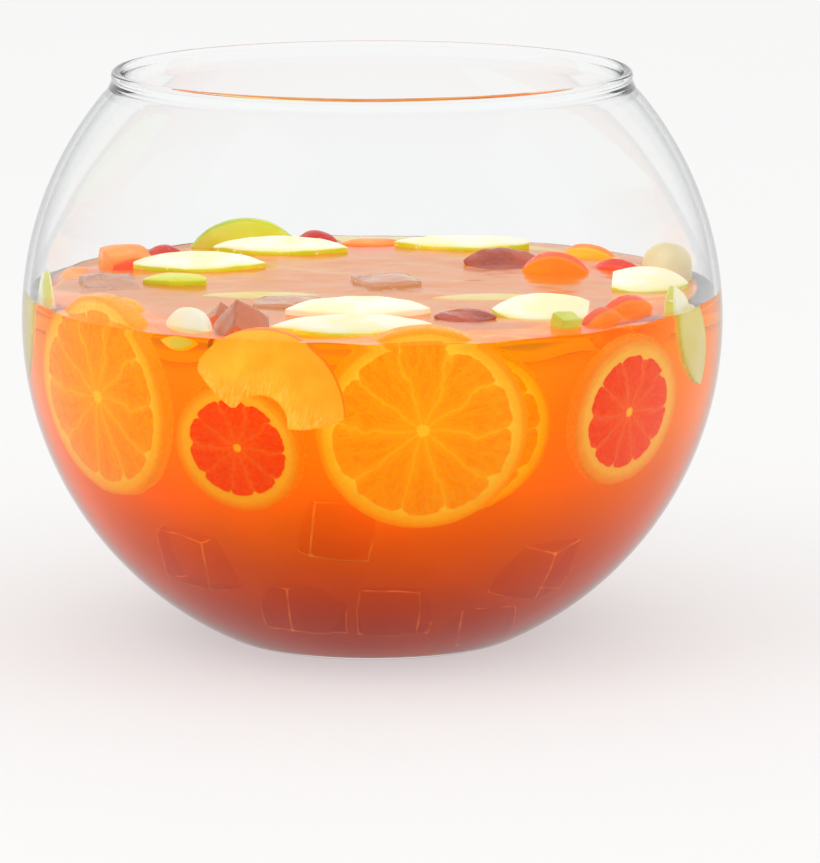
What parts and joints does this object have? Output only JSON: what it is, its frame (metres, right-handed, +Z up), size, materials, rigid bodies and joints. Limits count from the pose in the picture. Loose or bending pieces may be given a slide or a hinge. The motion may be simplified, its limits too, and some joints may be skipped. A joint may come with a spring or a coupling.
{
  "type": "punch bowl",
  "caption": "Round clear glass punch bowl filled with orange punch, citrus slices, apple, peach, strawberry and ice.",
  "frame": {"origin": "centre of the flat base's underside, where the bowl stands on the table", "axes": "+Z up along the bowl's round axis, the bowl's front faces -Y, +X to the right of the front"},
  "size_m": [0.2999, 0.3, 0.2428],
  "materials": {
    "glass": "clear, polished",
    "punch_liquid": "cloudy orange liquid",
    "orange_flesh": "wet cut citrus",
    "blood_orange_flesh": "wet cut citrus",
    "peach_flesh": "wet cut fruit",
    "apple_flesh": "wet cut fruit",
    "strawberry_flesh": "wet fruit",
    "ice": "clear melting ice"
  },
  "bodies": {
    "filled_bowl": {"bowl": "glass", "punch": "punch_liquid", "orange_slice_front": "orange_flesh", "orange_slice_behind": "orange_flesh", "orange_slice_left": "orange_flesh", "orange_slice_left_behind": "orange_flesh", "orange_slice_deep": "orange_flesh", "blood_orange_slice_left": "blood_orange_flesh", "blood_orange_slice_right": "blood_orange_flesh", "peach_slice_front": "peach_flesh", "peach_chunk_left": "peach_flesh", "peach_slice_left_back": "peach_flesh", "peach_slice_back": "peach_flesh", "peach_wedge_back_right_red": "peach_flesh", "peach_wedge_back_right_yellow": "peach_flesh", "peach_wedge_right": "peach_flesh", "peach_wedge_front_right": "peach_flesh", "apple_wedge_back_left": "apple_flesh", "apple_slice_back_left": "apple_flesh", "apple_slice_left": "apple_flesh", "apple_slice_sunken_left": "apple_flesh", "apple_slice_back": "apple_flesh", "apple_slice_front_outer": "apple_flesh", "apple_slice_sunken_centre": "apple_flesh", "apple_slice_right_centre": "apple_flesh", "apple_slice_right": "apple_flesh", "apple_wedge_right": "apple_flesh", "apple_chunk_right": "apple_flesh", "apple_slice_right_wall": "apple_flesh", "apple_slice_left_wall": "apple_flesh", "apple_slice_front_left": "apple_flesh", "strawberry_left": "strawberry_flesh", "strawberry_back": "strawberry_flesh", "ice_chunk_front_left": "ice", "ice_chunk_left_edge": "ice", "ice_cube_surface_left": "ice", "ice_cube_upper": "ice", "ice_cube_lower_left": "ice", "ice_cube_lower_right": "ice", "ice_cube_bottom_right": "ice", "ice_cube_right": "ice", "ice_cube_left": "ice"},
    "apple_piece_left": {"apple_piece_left": "apple_flesh"},
    "apple_slice_front_inner": {"apple_slice_front_inner": "apple_flesh"},
    "peach_wedge_back_right": {"peach_wedge_back_right": "peach_flesh"},
    "strawberry_half_right": {"strawberry_half_right": "strawberry_flesh"},
    "strawberry_half_front": {"strawberry_half_front": "strawberry_flesh"},
    "ice_cube_centre": {"ice_cube_centre": "ice"},
    "ice_cube_surface_front": {"ice_cube_surface_front": "ice"}
  },
  "joints": [
    {"name": "apple_piece_lift", "type": "slide", "parent": "filled_bowl", "child": "apple_piece_left", "axis": [0, 0, 1], "range_m": [0, 0.15]},
    {"name": "apple_slice_lift", "type": "slide", "parent": "filled_bowl", "child": "apple_slice_front_inner", "axis": [0, 0, 1], "range_m": [0, 0.15]},
    {"name": "peach_wedge_lift", "type": "slide", "parent": "filled_bowl", "child": "peach_wedge_back_right", "axis": [0, 0, 1], "range_m": [0, 0.15]},
    {"name": "strawberry_right_lift", "type": "slide", "parent": "filled_bowl", "child": "strawberry_half_right", "axis": [0, 0, 1], "range_m": [0, 0.15]},
    {"name": "strawberry_front_lift", "type": "slide", "parent": "filled_bowl", "child": "strawberry_half_front", "axis": [0, 0, 1], "range_m": [0, 0.15]},
    {"name": "ice_cube_centre_lift", "type": "slide", "parent": "filled_bowl", "child": "ice_cube_centre", "axis": [0, 0, 1], "range_m": [0, 0.15]},
    {"name": "ice_cube_front_lift", "type": "slide", "parent": "filled_bowl", "child": "ice_cube_surface_front", "axis": [0, 0, 1], "range_m": [0, 0.15]}
  ]
}
